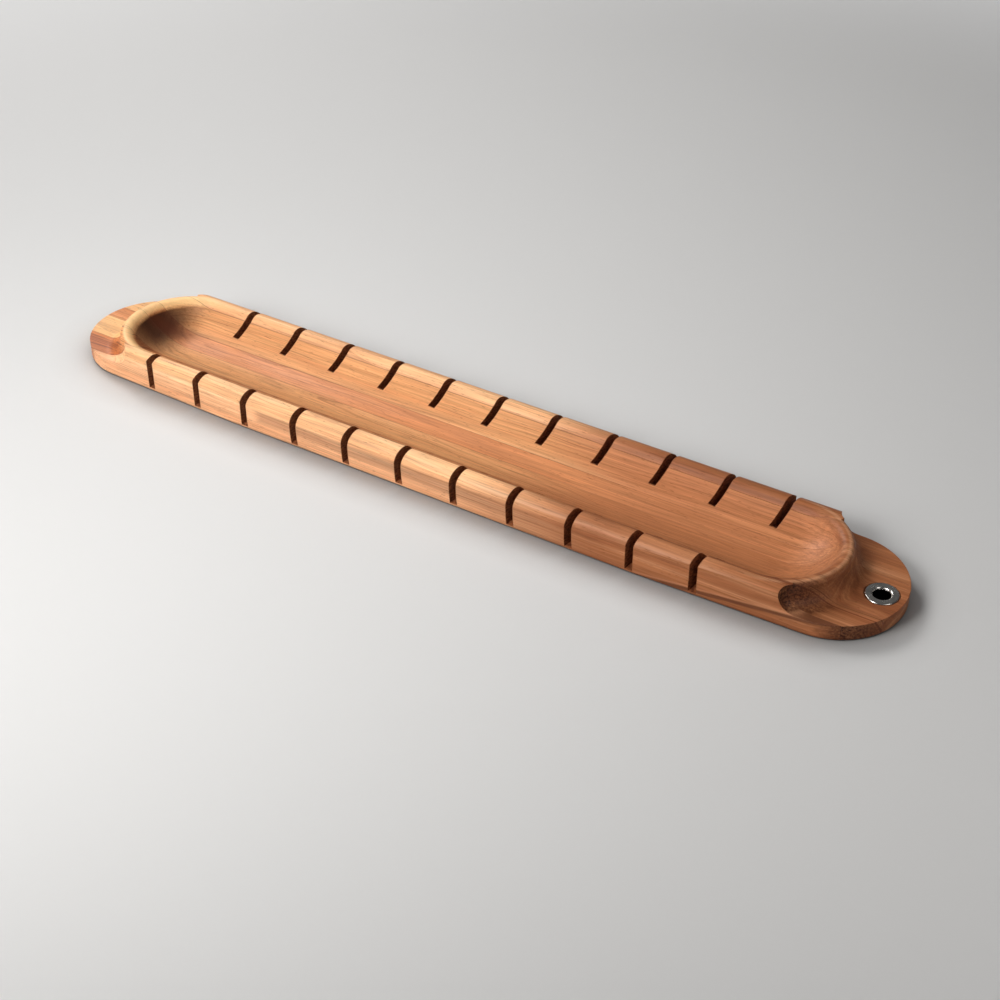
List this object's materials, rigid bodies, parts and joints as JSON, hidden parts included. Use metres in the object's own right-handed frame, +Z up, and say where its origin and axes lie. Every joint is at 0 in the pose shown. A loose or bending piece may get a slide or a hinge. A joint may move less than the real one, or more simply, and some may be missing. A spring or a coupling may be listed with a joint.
{
  "type": "baguette board",
  "caption": "Long hardwood bread board with a round-bottomed trough, slanted knife slots through both walls, half-round end lips and a steel hanging eyelet",
  "frame": {"origin": "centre of the underside, on the surface that the board lies on", "axes": "+X along the board towards the hanging eyelet, +Y across it, +Z up out of the trough"},
  "size_m": [0.56, 0.09, 0.024],
  "materials": {
    "rosy_wood": "oiled acacia, rosy brown, grain along the board",
    "red_brown_wood": "oiled acacia heartwood, red brown, grain along the board",
    "cream_wood": "oiled acacia sapwood, cream, grain along the board",
    "polished_steel": "bright polished steel"
  },
  "bodies": {
    "root": {"near_wall_stave": "rosy_wood", "near_slope_stave": "red_brown_wood", "near_floor_stave": "cream_wood", "far_floor_stave": "red_brown_wood", "far_slope_stave": "cream_wood", "far_wall_stave": "rosy_wood", "hanging_eyelet": "polished_steel", "eyelet_washer": "polished_steel"}
  },
  "joints": []
}
